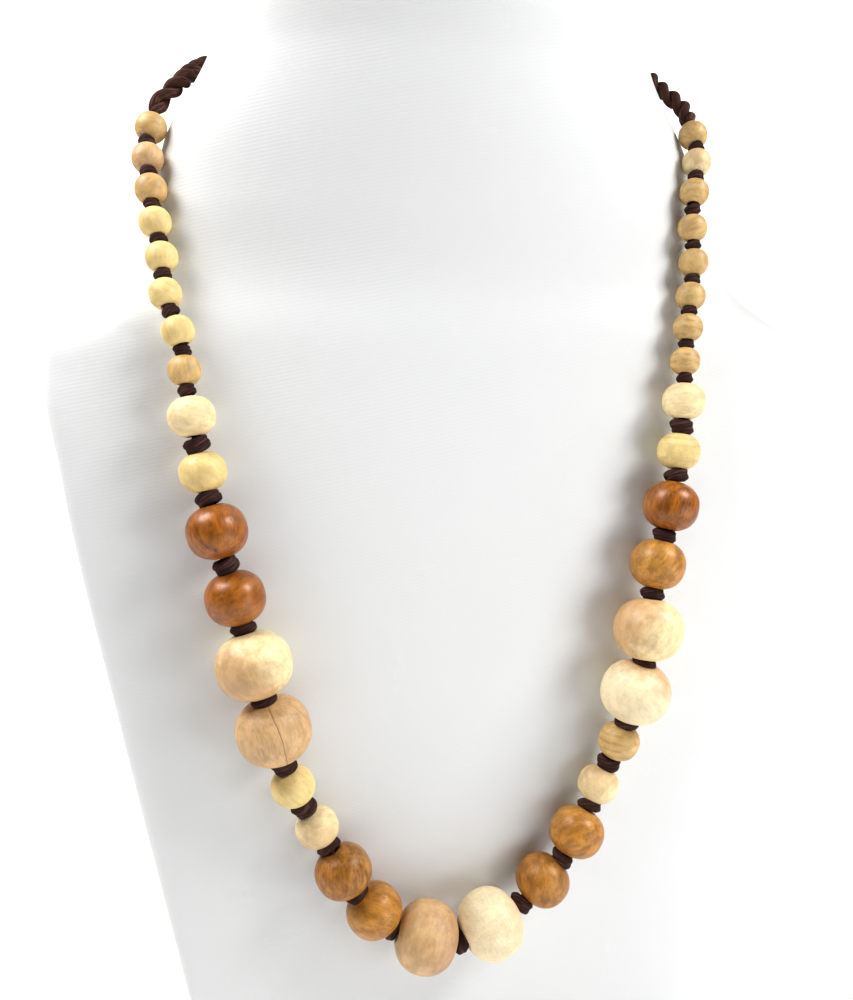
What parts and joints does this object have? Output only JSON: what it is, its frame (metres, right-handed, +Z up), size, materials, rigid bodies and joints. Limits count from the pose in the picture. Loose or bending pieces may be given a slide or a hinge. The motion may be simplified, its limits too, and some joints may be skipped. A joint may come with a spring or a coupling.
{
  "type": "beaded necklace on a neck bust",
  "caption": "Long necklace of turned wooden beads with knots between them and a twisted neck cord, laid over a plain ribbed neck bust.",
  "frame": {"origin": "middle of the bust's flat base, on the surface it stands on", "axes": "+Z up, the bust's front and the beads face -Y, +X to the right of someone who looks at the front"},
  "size_m": [0.2042, 0.1036, 0.31],
  "materials": {
    "leatherette": "pale, finely ribbed, satin",
    "cord": "twisted waxed cotton",
    "golden_wood": "turned, sanded smooth",
    "yellow_wood": "turned, sanded smooth",
    "cream_wood": "turned, sanded smooth",
    "ivory_wood": "turned, sanded smooth",
    "pink_wood": "turned, sanded smooth",
    "caramel_wood": "turned, thin clear varnish",
    "honey_wood": "turned, thin clear varnish",
    "brown_wood": "turned, thin clear varnish"
  },
  "bodies": {
    "root": {"neck_bust": "leatherette", "neck_cord": "cord", "knotted_string": "cord", "bead_01": "golden_wood", "bead_02": "pink_wood", "bead_03": "golden_wood", "bead_04": "yellow_wood", "bead_05": "yellow_wood", "bead_06": "yellow_wood", "bead_07": "yellow_wood", "bead_08": "golden_wood", "bead_09": "cream_wood", "bead_10": "yellow_wood", "bead_11": "caramel_wood", "bead_12": "caramel_wood", "bead_13": "cream_wood", "bead_14": "pink_wood", "bead_15": "yellow_wood", "bead_16": "cream_wood", "bead_17": "brown_wood", "bead_18": "honey_wood", "bead_19": "pink_wood", "bead_20": "ivory_wood", "bead_21": "brown_wood", "bead_22": "honey_wood", "bead_23": "cream_wood", "bead_24": "golden_wood", "bead_25": "ivory_wood", "bead_26": "cream_wood", "bead_27": "honey_wood", "bead_28": "caramel_wood", "bead_29": "yellow_wood", "bead_30": "cream_wood", "bead_31": "golden_wood", "bead_32": "golden_wood", "bead_33": "golden_wood", "bead_34": "golden_wood", "bead_35": "golden_wood", "bead_36": "golden_wood", "bead_37": "cream_wood", "bead_38": "golden_wood"}
  },
  "joints": []
}
